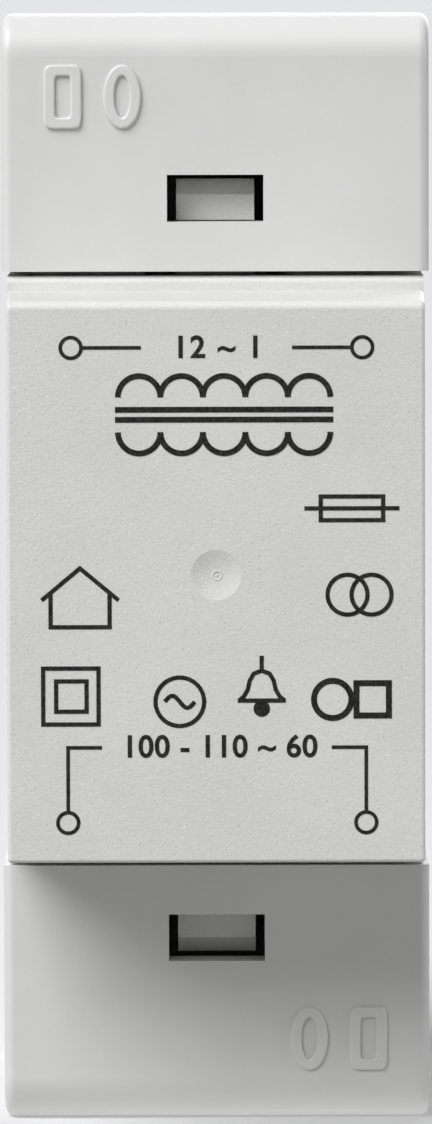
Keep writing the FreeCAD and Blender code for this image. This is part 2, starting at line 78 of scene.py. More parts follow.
# %% [markdown]
# A shader is arithmetic on signals, so it reads best as arithmetic. The class below wraps one
# output of a node. Adding or multiplying two wrapped outputs adds a Math node, and so does mixing
# one with a plain number from either side. Only the operators that this lesson needs are here.

# %% Signals: shader maths as expressions
class Signal:
    """One output on its way through a material's tree."""

    def __init__(self, finish, socket):
        self.finish = finish
        self.socket = socket

    def math(self, operation, *values, clamp=False):
        settings = {"operation": operation, "use_clamp": clamp}
        return self.finish.node("ShaderNodeMath", settings, dict(enumerate(values)))

    def __add__(self, other):
        return self.math("ADD", self, other)

    __radd__ = __add__

    def __sub__(self, other):
        return self.math("SUBTRACT", self, other)

    def __rsub__(self, other):
        return self.math("SUBTRACT", other, self)

    def __mul__(self, other):
        return self.math("MULTIPLY", self, other)

    __rmul__ = __mul__

    def __abs__(self):
        return self.math("ABSOLUTE", self)

    def at_least(self, other):
        return self.math("MAXIMUM", self, other)

    def clamped(self):
        return self.math("ADD", self, 0.0, clamp=True)

    def ramp(self, low, high):
        """0 below low, 1 above high, straight between them; high may be the smaller one."""
        return self.math("MULTIPLY", self - low, 1 / (high - low), clamp=True)


# %% [markdown]
# A material is built from one Principled shader. The Finish class keeps its tree and has one
# method that adds any other node: first the node's settings, then the values or links of its
# sockets. A colour that is the same everywhere is set on the shader itself, so that the model
# exports well; only what changes over the surface is linked.

# %% Finishes: one material each
class Finish:
    """A named material, its shader and its one way of adding nodes."""

    def __init__(self, name, **constants):
        self.material = bpy.data.materials.new(name)
        self.material.use_nodes = True
        self.tree = self.material.node_tree
        self.shader = self.tree.nodes["Principled BSDF"]
        for socket, value in constants.items():
            self.set(socket.replace("_", " "), value)

    def node(self, kind, settings=None, sockets=None, output=0):
        made = self.tree.nodes.new(kind)
        for name, value in (settings or {}).items():
            setattr(made, name, value)
        for key, value in (sockets or {}).items():
            self.plug(made.inputs[key], value)
        return Signal(self, made.outputs[output])

    def plug(self, target, value):
        if isinstance(value, Signal):
            self.tree.links.new(value.socket, target)
        else:
            target.default_value = value

    def set(self, socket, value):
        self.plug(self.shader.inputs[socket], value)

    def place(self):
        return self.node("ShaderNodeTexCoord", output="Object")

    def axis(self, letter):
        """One coordinate of the surface point, in millimetres."""
        part = self.node("ShaderNodeSeparateXYZ", {}, {0: self.place()}, output=letter)
        return part * (1 / MM)

    def normal(self, letter):
        facing = self.node("ShaderNodeNewGeometry", output="Normal")
        return self.node("ShaderNodeSeparateXYZ", {}, {0: facing}, output=letter)

    def noise(self, size_mm, detail=2.0, roughness=0.5, stretch=(1, 1, 1)):
        """Soft noise whose blobs are about size_mm across."""
        scaled = self.node("ShaderNodeMapping", {}, {"Vector": self.place(), "Scale": stretch})
        return self.node("ShaderNodeTexNoise", {"normalize": True}, {
            "Vector": scaled, "Scale": 1 / (size_mm * MM), "Detail": detail,
            "Roughness": roughness})

    def mix(self, factor, first, second):
        """Second colour where the factor is 1."""
        sockets = {0: factor, 6: first, 7: second}
        return self.node("ShaderNodeMix", {"data_type": "RGBA"}, sockets, output=2)

    def bump(self, height, depth_mm, strength=1.0, under=None):
        sockets = {"Height": height, "Distance": depth_mm * MM, "Strength": strength}
        if under is not None:
            sockets["Normal"] = under
        return self.node("ShaderNodeBump", {}, sockets)


def srgb(red, green, blue, alpha=1.0):
    """A colour as an eye would name it (0 to 255), turned into the linear values shaders use."""
    def linear(level):
        part = level / 255
        return part / 12.92 if part <= 0.04045 else ((part + 0.055) / 1.055) ** 2.4
    return (linear(red), linear(green), linear(blue), alpha)


print("white is", srgb(255, 255, 255))

# %% [markdown]
# The places on the object are read from the frame, so that the print and the marks follow the
# mouldings. The front of the nose is the face that carries the print; the covers' front lies
# behind it.

# %% Places read from the frame
NOSE_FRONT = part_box("front_housing")[0][1]
COVER_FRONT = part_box("top_terminal_cover")[0][1]
print("nose front at", round(NOSE_FRONT / MM, 2), "mm")
print("cover front at", round(COVER_FRONT / MM, 2), "mm")

# %% [markdown]
# The housings and covers are injection moulded in a pale grey thermoplastic. The nose was moulded
# in a spark-eroded cavity, which leaves a fine pebble all over; its edges come out a little
# smoother. Noise at about a fifth of a millimetre makes the pebble, a wider noise carries the
# faint flow shading of a thick moulding, and the normal itself tells where an edge turns.

# %% Housing plastic
HOUSING_GREY = (213, 213, 211)
COVER_GREY = (210, 210, 210)
PALE_FLECK = srgb(232, 232, 231)
DARK_FLECK = srgb(188, 188, 187)
EDGE_GREY = srgb(216, 216, 215)
EDGE_SHARE = 0.3
EDGE_POLISH = 0.08
FLOW_TONE = 2
FLOW_SIZE = 9.0
FLOW_DEPTH = 0.012
FLOW_STRENGTH = 0.35
PEBBLE_STRENGTH = 0.7
SHEEN_SIZE = 1.3
SHEEN_SPREAD = 0.12


def edge_mask(finish):
    """1 on rounded edges, 0 on faces that look straight along an axis."""
    across, along, up = (abs(finish.normal(letter)) for letter in "XYZ")
    return across.at_least(along).at_least(up).ramp(0.99, 0.90)


def moulded_plastic(name, grey, pebble_mm, pebble_depth, rough, fleck):
    """Grey plastic: faint flow tones, tiny pale and dark flecks, a pebble and plainer edges."""
    finish = Finish(name, Specular_IOR_Level=0.42, IOR=1.5)
    flow = finish.noise(FLOW_SIZE, detail=3.0, roughness=0.55)
    pebble = finish.noise(pebble_mm, detail=1.5, roughness=0.45)
    darker = srgb(*(level - FLOW_TONE for level in grey))
    lighter = srgb(*(level + FLOW_TONE for level in grey))
    colour = finish.mix(flow.ramp(0.35, 0.65), darker, lighter)
    colour = finish.mix(pebble.ramp(0.62, 0.80) * fleck, colour, PALE_FLECK)
    colour = finish.mix(pebble.ramp(0.38, 0.20) * fleck, colour, DARK_FLECK)
    edge = edge_mask(finish)
    finish.set("Base Color", finish.mix(edge * EDGE_SHARE, colour, EDGE_GREY))
    sheen = finish.noise(SHEEN_SIZE)
    finish.set("Roughness", (rough + (sheen - 0.5) * SHEEN_SPREAD - edge * EDGE_POLISH).clamped())
    waves = finish.bump(flow, FLOW_DEPTH, FLOW_STRENGTH)
    finish.set("Normal", finish.bump(pebble, pebble_depth, PEBBLE_STRENGTH, under=waves))
    return finish


housing = moulded_plastic("housing_plastic", HOUSING_GREY, pebble_mm=0.19, pebble_depth=0.04,
                          rough=0.5, fleck=0.9)
cover = moulded_plastic("cover_plastic", COVER_GREY, pebble_mm=0.18, pebble_depth=0.008,
                        rough=0.42, fleck=0.12)
print("mouldings:", housing.material.name, cover.material.name)

# %% [markdown]
# Inside, the transformer is steel, copper and film. The core is a stack of half-millimetre
# sheets dipped in varnish: a wave across the stack draws the sheet edges. The windings are round
# wire laid side by side, which a wave along the height draws, with the enamel's clear coat.

# %% Core and windings
SHEET_PITCH = 0.5
WIRE_PITCH = 0.35
WAVE_RADIANS = 20  # Blender's wave runs through this angle in one unit of its vector


def striped(finish, direction, pitch_mm):
    """A wave with one crest for each sheet or each turn of wire."""
    scale = 2 * math.pi / (WAVE_RADIANS * pitch_mm * MM)
    return finish.node("ShaderNodeTexWave", {"wave_type": "BANDS", "bands_direction": direction}, {
        "Vector": finish.place(), "Scale": scale, "Distortion": 0.4})


def core_steel():
    finish = Finish("core_steel", Metallic=0.85, IOR=2.2)
    sheets = striped(finish, "X", SHEET_PITCH)
    rust = finish.noise(2.5, detail=4.0, roughness=0.65)
    base = finish.mix(sheets, srgb(96, 94, 92), srgb(128, 126, 124))
    rusty = rust.ramp(0.58, 0.72) * 0.7
    finish.set("Base Color", finish.mix(rusty, base, srgb(112, 82, 60)))
    finish.set("Roughness", 0.36 + rust * 0.25)
    finish.set("Normal", finish.bump(sheets, 0.06, 0.8))
    return finish


def copper_winding():
    finish = Finish("winding_copper", Metallic=1.0, Coat_Roughness=0.12)
    turns = striped(finish, "Z", WIRE_PITCH)
    tone = finish.noise(3.0, detail=3.0)
    finish.set("Base Color", finish.mix(tone, srgb(176, 96, 52), srgb(206, 128, 74)))
    finish.set("Roughness", 0.22 + tone * 0.14)
    finish.set("Coat Weight", 0.4 + turns * 0.4)
    finish.set("Normal", finish.bump(turns, 0.12, 0.9))
    return finish


FINISHES = {
    "housing_plastic": housing,
    "cover_plastic": cover,
    "core_steel": core_steel(),
    "winding_copper": copper_winding(),
}
print("core sheets lie", SHEET_PITCH, "mm apart, and wires", WIRE_PITCH, "mm")

# %% [markdown]
# A glossy film is wound over the copper, with creases that run round it. The tags, clamps and
# springs are metal with faint lines from rolling and drawing. The bobbin and the leads are plain
# polymers with a cloudy tone. Pieces of one kind share a recipe, and differ in tone and polish.

# %% Film, metals and polymers
def tape_film():
    finish = Finish("tape_film", Coat_Roughness=0.06, IOR=1.6)
    crease = finish.noise(2.2, detail=4.0, roughness=0.6, stretch=(1, 1, 4))
    tone = crease.ramp(0.3, 0.7)
    finish.set("Base Color", finish.mix(tone, srgb(204, 160, 44), srgb(222, 184, 72)))
    finish.set("Roughness", 0.16 + crease * 0.2)
    finish.set("Coat Weight", 0.5 + crease * 0.3)
    finish.set("Normal", finish.bump(crease, 0.12, 0.6))
    return finish


def drawn_metal(name, dark, light, rough):
    """Plated steel, brass or tin: faint lines from drawing or rolling, and a cloudy tone."""
    finish = Finish(name, Metallic=1.0)
    cloud = finish.noise(0.9, detail=4.0, roughness=0.6)
    lines = finish.noise(0.12, detail=1.0, stretch=(1, 1, 0.12))
    finish.set("Base Color", finish.mix(cloud.ramp(0.35, 0.65), dark, light))
    finish.set("Roughness", (rough + (cloud - 0.5) * 0.2 + lines * 0.08).clamped())
    finish.set("Normal", finish.bump(lines, 0.008, 0.5))
    return finish


def plain_polymer(name, dark, light, rough):
    finish = Finish(name, IOR=1.5)
    cloud = finish.noise(3.0, detail=3.0)
    pebble = finish.noise(0.3, detail=1.0)
    finish.set("Base Color", finish.mix(cloud, dark, light))
    finish.set("Roughness", rough + cloud * 0.12)
    finish.set("Normal", finish.bump(pebble, 0.01, 0.5))
    return finish


FINISHES["tape_film"] = tape_film()
for name, dark, light, rough in (
        ("bobbin_plastic", srgb(214, 208, 190), srgb(226, 221, 206), 0.42),
        ("lead_insulation", srgb(30, 30, 32), srgb(44, 44, 46), 0.34)):
    FINISHES[name] = plain_polymer(name, dark, light, rough)
for name, dark, light, rough in (
        ("fuse_metal", srgb(150, 148, 142), srgb(190, 188, 182), 0.3),
        ("tag_brass", srgb(178, 142, 72), srgb(212, 178, 104), 0.28),
        ("clamp_steel", srgb(160, 160, 156), srgb(204, 204, 200), 0.3),
        ("spring_steel", srgb(120, 120, 122), srgb(170, 170, 172), 0.26)):
    FINISHES[name] = drawn_metal(name, dark, light, rough)
print("finishes:", ", ".join(FINISHES))

# %% [markdown]
# The record names a finish for each piece, and the piece's material slots take it.

# %% Finishes on the pieces
for part in frame["record"]["subparts"]:
    body = frame["nodes"][part["node"]]
    finish = FINISHES[part["material_slot"]].material
    if not body.material_slots:
        body.data.materials.append(finish)
    for slot in body.material_slots:
        slot.material = finish

# %% [markdown]
# The legend on the nose is pad printed: a silicone pad lifts black ink from an etched plate and
# presses it on the pebbled face, so the strokes are a few hundredths of a millimetre thick, and
# single peaks of the pebble show through. Here each stroke is a thin closed plate on the face,
# and the ink's Alpha opens the tiny misses.

# %% Ink
INK_LIFT = 0.012 * MM
INK_THICKNESS = 0.02 * MM
STROKE_STEP = 0.001 * MM
MISS_SHARE = 0.6


def printing_ink():
    finish = Finish("printing_ink", Specular_IOR_Level=0.2, IOR=1.5)
    pebble = finish.noise(0.28, detail=1.5, roughness=0.45)
    miss = finish.noise(0.13, detail=1.0, roughness=0.6)
    tone = pebble.ramp(0.35, 0.7)
    finish.set("Base Color", finish.mix(tone, srgb(10, 10, 10), srgb(46, 46, 44)))
    finish.set("Roughness", 0.6 + miss * 0.2)
    finish.set("Alpha", 1 - miss.ramp(0.64, 0.72) * MISS_SHARE)
    finish.set("Normal", finish.bump(pebble, 0.03, 0.6))
    return finish


INK = printing_ink().material
print("ink:", INK.name)

# %% [markdown]
# Print and raised marks are all thin plates that lie parallel to the front. A plate is drawn by
# two rails that run side by side, in width and height: the outer and inner rim of a ring, or the
# two edges of a stroke. Quads between the rails, in front and behind, make a mesh that renders
# and exports cleanly, where one many-sided face over a bent stroke would not.

# %% Plates between two rails
RING_STEPS = 48


def add_plate(mesh, plate, front, thickness):
    """Add one plate: its outer and inner rail, and whether the rails close on themselves."""
    outer, inner, closed = plate
    layers = []
    for depth in (front, front - thickness):
        layers.append([[mesh.verts.new((x, depth, z)) for x, z in rail]
                       for rail in (outer, inner) if rail])
    count = len(outer)
    for index in range(count if closed else count - 1):
        after = (index + 1) % count
        for near, far in zip(*layers):
            mesh.faces.new((near[index], near[after], far[after], far[index]))
        if inner:
            for first, second in layers:
                mesh.faces.new((first[index], first[after], second[after], second[index]))
    if not inner:
        for layer in layers:
            mesh.faces.new(layer[0])
    elif not closed:
        (near_outer, near_inner), (far_outer, far_inner) = layers
        for index in (0, count - 1):
            mesh.faces.new((near_outer[index], near_inner[index],
                            far_inner[index], far_outer[index]))


def finished_mesh(name, mesh):
    bmesh.ops.recalc_face_normals(mesh, faces=mesh.faces)
    data = bpy.data.meshes.new(name)
    mesh.to_mesh(data)
    mesh.free()
    return data


def new_piece(name, data, material):
    data.materials.append(material)
    piece = bpy.data.objects.new(name, data)
    bpy.context.scene.collection.objects.link(piece)
    return piece


def plate_piece(name, plates, front, thickness, material):
    """One piece of the housing from several plates, each a hair in front of the one before."""
    mesh = bmesh.new()
    for order, plate in enumerate(plates):
        add_plate(mesh, plate, front - order * STROKE_STEP, thickness)
    piece = new_piece(name, finished_mesh(name, mesh), material)
    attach(piece, "housing")
    return piece


def printed(name, *plates):
    plate_piece(name, plates, NOSE_FRONT - INK_LIFT, INK_THICKNESS, INK)


print("ink plates are", round(INK_THICKNESS / MM, 3), "mm thick")

# %% [markdown]
# The photograph's pixels become millimetres on the nose through one scale: the nose is nearer to
# the camera than the covers, so a millimetre is a little larger there. Each place below is named
# and read in pixels once, then used as a real distance from the middle of the nose.

# %% Places on the nose
NOSE_PIXELS_PER_MM = 12.48
NOSE_MIDDLE_X = 214.6
NOSE_MIDDLE_Y = 582.6


def on_nose(pixel_x, pixel_y):
    """A place on the nose front, in metres from the middle of the object."""
    return ((pixel_x - NOSE_MIDDLE_X) / NOSE_PIXELS_PER_MM * MM,
            (NOSE_MIDDLE_Y - pixel_y) / NOSE_PIXELS_PER_MM * MM)


print("ten pixels on the nose are", round(10 / NOSE_PIXELS_PER_MM, 2), "mm")

# %% [markdown]
# Rings, discs, rectangles and bent strokes are all plates: a shape is its two rails, and a note
# whether they close on themselves.

# %% Shapes of print
LEAST_MITRE = 0.5


def oval(x, z, half_width, half_height, squareness=2.0):
    """A closed rail: an ellipse, or with more squareness a rectangle with round corners."""
    rail = []
    for step in range(RING_STEPS):
        turn = 2 * math.pi * step / RING_STEPS
        across, up = math.cos(turn), math.sin(turn)
        rail.append((x + half_width * math.copysign(abs(across) ** (2 / squareness), across),
                     z + half_height * math.copysign(abs(up) ** (2 / squareness), up)))
    return rail


def ring(place, radius, stroke):
    return (oval(*place, radius + stroke / 2, radius + stroke / 2),
            oval(*place, radius - stroke / 2, radius - stroke / 2), True)


def disc(place, radius):
    return (oval(*place, radius, radius), None, True)


def rectangle(place, half_width, half_height, stroke):
    x, z = place
    rails = []
    for half in (stroke / 2, -stroke / 2):
        rails.append([(x + sx * (half_width + half), z + sz * (half_height + half))
                      for sx, sz in ((-1, -1), (1, -1), (1, 1), (-1, 1))])
    return (*rails, True)


def stroke_through(points, width):
    """A bent stroke of even width through the points, mitred at its corners."""
    left, right = [], []
    last = len(points) - 1
    for index, point in enumerate(points):
        here = Vector(point)
        into = (here - Vector(points[max(index - 1, 0)])).normalized()
        out = (Vector(points[min(index + 1, last)]) - here).normalized()
        along = (into + out).normalized()
        mitre = max(along.dot(out if index < last else into), LEAST_MITRE)
        side = Vector((-along.y, along.x)) * (width / 2 / mitre)
        left.append(tuple(here + side))
        right.append(tuple(here - side))
    return (left, right, False)


print("points round a ring:", len(oval(0, 0, MM, MM)))

# %% [markdown]
# The terminals are drawn as in a circuit diagram: an open ring for each screw, and a line that
# leads from it to the figures in the middle.

# %% The legend: terminal marks
STROKE = 0.29 * MM
TERMINAL_RADIUS = 0.83 * MM
UPPER_TERMINAL_Y = 347.5
UPPER_TERMINALS_X = (70, 361)
UPPER_LINE_ENDS_X = (140, 291)
LOWER_TERMINAL_Y = 823.5
LOWER_TERMINALS_X = (66, 364.5)
LOWER_LINE_Y = 748
LOWER_LINE_ENDS_X = (100, 330)
HANDS = ("left", "right")


def terminal_mark(name, place, path):
    printed(name, ring(place, TERMINAL_RADIUS, STROKE), stroke_through(path, STROKE))


for hand, ring_x, line_end in zip(HANDS, UPPER_TERMINALS_X, UPPER_LINE_ENDS_X):
    x, z = on_nose(ring_x, UPPER_TERMINAL_Y)
    end_x, _ = on_nose(line_end, UPPER_TERMINAL_Y)
    start_x = x + math.copysign(TERMINAL_RADIUS, end_x - x)
    terminal_mark("print_terminal_upper_" + hand, (x, z), [(start_x, z), (end_x, z)])
for hand, ring_x, line_end in zip(HANDS, LOWER_TERMINALS_X, LOWER_LINE_ENDS_X):
    x, z = on_nose(ring_x, LOWER_TERMINAL_Y)
    end_x, line_z = on_nose(line_end, LOWER_LINE_Y)
    path = [(x, z + TERMINAL_RADIUS), (x, line_z), (end_x, line_z)]
    terminal_mark("print_terminal_lower_" + hand, (x, z), path)
print("terminal marks:", len(UPPER_TERMINALS_X) + len(LOWER_TERMINALS_X))

# %% [markdown]
# Between the terminals stand plain numbers with the sign for alternating current. They are
# outlines of Blender's own font, drawn a little bolder, filled and given the ink's thickness.

# %% The legend: numbers
NUMBER_HEIGHT = 1.8 * MM
CAPITAL_SHARE = 0.72
BOLDER = 0.05 * MM
UPPER_NUMBERS_AT = (217, 348)
LOWER_NUMBERS_AT = (218, 748)


def printed_number(name, words, pixels, spacing):
    """A line of figures centred on a place of the nose."""
    curve = bpy.data.curves.new(name, "FONT")
    curve.body = words
    curve.align_x = "CENTER"
    curve.align_y = "CENTER"
    curve.size = NUMBER_HEIGHT / CAPITAL_SHARE
    curve.space_character = spacing
    curve.offset = BOLDER
    curve.extrude = INK_THICKNESS / 2
    outline = bpy.data.objects.new(name + "_outline", curve)
    bpy.context.scene.collection.objects.link(outline)
    bpy.context.view_layer.update()
    data = bpy.data.meshes.new_from_object(outline)
    bpy.data.objects.remove(outline)
    x, z = on_nose(*pixels)
    stand = Matrix.Translation((x, NOSE_FRONT - INK_LIFT - INK_THICKNESS / 2, z))
    data.transform(stand @ Matrix.Rotation(math.radians(90), 4, "X"))
    data.materials.clear()
    piece = new_piece(name, data, INK)
    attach(piece, "housing")
    print(name, "width", round(piece.dimensions.x / MM, 2), "mm")


printed_number("print_numbers_upper", "12 ~ 1", UPPER_NUMBERS_AT, spacing=1.1)
printed_number("print_numbers_lower", "100 - 110 ~ 60", LOWER_NUMBERS_AT, spacing=1.04)

# %% [markdown]
# Below the upper numbers stands the circuit sign of a transformer: a row of half rings for each
# coil and two bars for the core between them. A half ring is one bent stroke, and each ends in
# the foot where the next one starts.

# %% The legend: circuit sign
COIL_STROKE = 0.46 * MM
COIL_TURNS = 5
COIL_RADIUS = 1.7 * MM
COIL_MIDDLE_X = 223
COIL_FEET_Y = {"upper": 397, "lower": 432}
CORE_BARS_Y = (409.5, 419.5)
ARC_STEPS = 20


def half_ring(centre_x, foot_z, upwards):
    arc = []
    for step in range(ARC_STEPS + 1):
        turn = math.pi * (1 - step / ARC_STEPS)
        arc.append((centre_x + COIL_RADIUS * math.cos(turn),
                    foot_z + upwards * COIL_RADIUS * math.sin(turn)))
    return stroke_through(arc, COIL_STROKE)


for row, upwards in (("upper", 1), ("lower", -1)):
    middle_x, foot_z = on_nose(COIL_MIDDLE_X, COIL_FEET_Y[row])
    centres = [middle_x + (turn - (COIL_TURNS - 1) / 2) * 2 * COIL_RADIUS
               for turn in range(COIL_TURNS)]
    printed("print_coil_" + row, *(half_ring(centre, foot_z, upwards) for centre in centres))
bars = []
for bar_y in CORE_BARS_Y:
    x, z = on_nose(COIL_MIDDLE_X, bar_y)
    reach = COIL_TURNS * COIL_RADIUS + COIL_STROKE / 2
    bars.append(stroke_through([(x - reach, z), (x + reach, z)], COIL_STROKE))
printed("print_core_bars", *bars)
print("coil turns:", COIL_TURNS)

# %% [markdown]
# The lower half carries small signs: the double square of double insulation, the bell that says
# what the transformer feeds, a house for indoor use, a fuse, a wave in a ring, two linked rings
# and a ring beside a square. Each is one piece of a few plates.

# %% The legend: angular signs
SIGN_STROKE = 0.34 * MM
BOLD_STROKE = 0.48 * MM
OUTER_SQUARE_AT, OUTER_SQUARE = (69, 696.5), (2.22 * MM, 2.25 * MM)
INNER_SQUARE_AT, INNER_SQUARE = (69.5, 696.5), (1.22 * MM, 1.22 * MM)
FUSE_AT, FUSE_BODY = (350.5, 508.5), (2.5 * MM, 0.95 * MM)
FUSE_WIRE = [(303, 508.5), (398, 508.5)]
ROOF = [(40, 600), (78.5, 568), (117, 600)]
WALLS = [(49, 594), (49, 627), (108, 627), (108, 594)]


def sign_line(pixels):
    return stroke_through([on_nose(*pixel) for pixel in pixels], SIGN_STROKE)


printed("print_double_square", rectangle(on_nose(*OUTER_SQUARE_AT), *OUTER_SQUARE, SIGN_STROKE),
        rectangle(on_nose(*INNER_SQUARE_AT), *INNER_SQUARE, SIGN_STROKE))
printed("print_fuse", rectangle(on_nose(*FUSE_AT), *FUSE_BODY, SIGN_STROKE), sign_line(FUSE_WIRE))
printed("print_house", sign_line(ROOF), sign_line(WALLS))
print("angular signs: double square, fuse, house")

# %% [markdown]
# The round signs are made the same way. The wave is a sine in short steps. The bell's outline is
# one side of it and its mirror image, and a rim, a stem and a clapper complete it.

# %% The legend: round signs
LINKED_RINGS_AT, LINKED_RADIUS = ((346, 595), (370, 595)), 1.6 * MM
WAVE_X, WAVE_Y = 178, 702
WAVE_REACH, WAVE_RISE = 15, 6
WAVE_STEPS = 24
WAVE_RING_RADIUS = 1.95 * MM
BOLD_RING_AT, BOLD_RING_RADIUS = (331, 700), 1.5 * MM
BOLD_SQUARE_AT, BOLD_SQUARE = (371, 700), (1.3 * MM, 1.3 * MM)
BELL_X = 260
BELL_SIDE = [(0, 671), (8, 674), (12, 681), (14, 690), (18, 697), (23, 701)]
BELL_RIM_REACH, BELL_RIM_Y = 24, 701
BELL_STEM_Y = (656, 671)
CLAPPER_Y, CLAPPER_RADIUS = 709, 0.66 * MM

printed("print_linked_rings",
        *(ring(on_nose(*place), LINKED_RADIUS, SIGN_STROKE) for place in LINKED_RINGS_AT))
wave = []
for step in range(WAVE_STEPS + 1):
    share = step / WAVE_STEPS
    wave.append((WAVE_X + WAVE_REACH * (2 * share - 1),
                 WAVE_Y - WAVE_RISE * math.sin(2 * math.pi * share)))
printed("print_wave", ring(on_nose(WAVE_X, WAVE_Y), WAVE_RING_RADIUS, SIGN_STROKE), sign_line(wave))
printed("print_ring_and_square", ring(on_nose(*BOLD_RING_AT), BOLD_RING_RADIUS, BOLD_STROKE),
        rectangle(on_nose(*BOLD_SQUARE_AT), *BOLD_SQUARE, BOLD_STROKE))
bell = [(BELL_X - x, y) for x, y in reversed(BELL_SIDE)]
bell += [(BELL_X + x, y) for x, y in BELL_SIDE[1:]]
rim = [(BELL_X + side * BELL_RIM_REACH, BELL_RIM_Y) for side in (-1, 1)]
stem = [(BELL_X, y) for y in BELL_STEM_Y]
printed("print_bell", sign_line(bell), sign_line(rim), sign_line(stem),
        disc(on_nose(BELL_X, CLAPPER_Y), CLAPPER_RADIUS))
print("round signs: linked rings, wave, ring and square, bell")

# %% [markdown]
# A hot runner left its mark in the shallow dish at the middle of the nose: a small ring with a
# pip inside, a few hundredths of a millimetre proud. It is the plastic itself, so it has the
# housing's finish, and a bevel softens its rims.

# %% The gate's mark
GATE_X, GATE_Y = 215.6, 575.8
GATE_RADIUS, GATE_STROKE = 0.36 * MM, 0.14 * MM
PIP_RADIUS = 0.1 * MM
DISH_DEPTH = 0.28 * MM
GATE_PROUD = 0.06 * MM
GATE_SINK = 0.05 * MM
GATE_SOFTNESS = 0.025 * MM
BEVEL_SEGMENTS = 4


def soften(piece, width):
    bevel = piece.modifiers.new("soft_edge", "BEVEL")
    bevel.width = width
    bevel.segments = BEVEL_SEGMENTS
    bevel.limit_method = "ANGLE"


gate_place = on_nose(GATE_X, GATE_Y)
gate = plate_piece("gate_mark",
                   [ring(gate_place, GATE_RADIUS, GATE_STROKE), disc(gate_place, PIP_RADIUS)],
                   NOSE_FRONT + DISH_DEPTH + GATE_SINK, GATE_PROUD + GATE_SINK,
                   housing.material)
soften(gate, GATE_SOFTNESS)
print("gate mark across:", round(gate.dimensions.x / MM, 2), "mm")

# %% [markdown]
# Each cover has two shallow raised marks near its outer corner, cut into the mould and so
# standing a third of a millimetre proud with round edges: an oval and a rectangle. The lower
# cover carries them upright, and the upper cover is the same moulding turned half a turn.

# %% Raised marks on the covers
MARK_PROUD = 0.34 * MM
MARK_SINK = 0.05 * MM
MARK_STROKE = 0.92 * MM
MARK_SOFTNESS = 0.34 * MM
COVER_PIXELS_PER_MM = 12.14
COVER_MIDDLE_X = 215.9
COVER_MIDDLE_Y = 567.0
MARK_Y = 1037
MARKS_X = {"oval": 308, "box": 367}
MARK_SQUARENESS = {"oval": 2.0, "box": 7.0}
MARK_HALF_WIDTH = 1.55 * MM
MARK_HALF_HEIGHT = 2.62 * MM

for shape, pixel_x in MARKS_X.items():
    x = (pixel_x - COVER_MIDDLE_X) / COVER_PIXELS_PER_MM * MM
    z = (COVER_MIDDLE_Y - MARK_Y) / COVER_PIXELS_PER_MM * MM
    for cover_name, turn in (("lower", 1), ("upper", -1)):
        rails = []
        for inset in (0, MARK_STROKE):
            rail = oval(x, z, MARK_HALF_WIDTH - inset, MARK_HALF_HEIGHT - inset,
                        MARK_SQUARENESS[shape])
            rails.append([(turn * across, turn * up) for across, up in rail])
        mark = plate_piece("mark_%s_%s" % (shape, cover_name), [(*rails, True)],
                           COVER_FRONT + MARK_SINK, MARK_PROUD + MARK_SINK,
                           cover.material)
        soften(mark, MARK_SOFTNESS)
print("raised marks stand", round(MARK_PROUD / MM, 2), "mm proud")

# %% [markdown]
# The spring behind the rail latch shows through the slot at the back. It is wound here again from
# round wire, in the place of the model's square wire. It stands on the housing's lug.

# %% Latch spring
SPRING_TURNS = 6
SPRING_WIRE = 0.35 * MM
WIRE_SIDES = 10
TURN_STEPS = 28


def wound_spring():
    """The wire's mesh, between the ends of the model's spring."""
    low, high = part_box("rail_latch_spring")
    middle = (low + high) / 2
    half_square = SPRING_WIRE / 2 * math.sqrt(0.5)  # half a side of the model's square wire
    radius = (high.x - low.x) / 2 - half_square
    first_z, last_z = low.z + half_square, high.z - half_square
    steps = SPRING_TURNS * TURN_STEPS
    mesh = bmesh.new()
    sections = []
    for step in range(steps + 1):
        turn = 2 * math.pi * step / TURN_STEPS
        outward = Vector((math.cos(turn), math.sin(turn), 0))
        height = first_z + (last_z - first_z) * step / steps
        centre = Vector((middle.x, middle.y, height)) + outward * radius
        section = []
        for side in range(WIRE_SIDES):
            around = 2 * math.pi * side / WIRE_SIDES
            offset = outward * math.cos(around) + Vector((0, 0, math.sin(around)))
            section.append(mesh.verts.new(centre + offset * (SPRING_WIRE / 2)))
        sections.append(section)
    for here, ahead in zip(sections, sections[1:]):
        for side in range(WIRE_SIDES):
            after = (side + 1) % WIRE_SIDES
            face = mesh.faces.new((here[side], here[after], ahead[after], ahead[side]))
            face.smooth = True
    for end in (sections[0], sections[-1]):
        mesh.faces.new(end)
    return finished_mesh("latch_spring_wire", mesh)


spring = new_piece("latch_spring_wire", wound_spring(), FINISHES["spring_steel"].material)
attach(spring, "housing")
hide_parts("rail_latch_spring")
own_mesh(spring)

# %% [markdown]
# The object stands in a pale surround. The camera, metal and glass see it at the photograph's
# pale grey. For all other rays it is a weak white, which fills the shadows, so the look of the
# background and its light on the object are set apart.

# %% Surround
SURROUND = srgb(228, 229, 231)
SKY_STRENGTH = 0.25


def white_to_camera(tree, seen, lit):
    """Join a shader for what the camera, metal and glass see with one for all other rays."""
    path = tree.nodes.new("ShaderNodeLightPath")
    either = path.outputs["Is Camera Ray"]
    for output in ("Is Glossy Ray", "Is Transmission Ray"):
        larger = tree.nodes.new("ShaderNodeMath")
        larger.operation = "MAXIMUM"
        tree.links.new(either, larger.inputs[0])
        tree.links.new(path.outputs[output], larger.inputs[1])
        either = larger.outputs[0]
    mixer = tree.nodes.new("ShaderNodeMixShader")
    tree.links.new(either, mixer.inputs[0])
    tree.links.new(lit, mixer.inputs[1])
    tree.links.new(seen, mixer.inputs[2])
    return mixer.outputs[0]


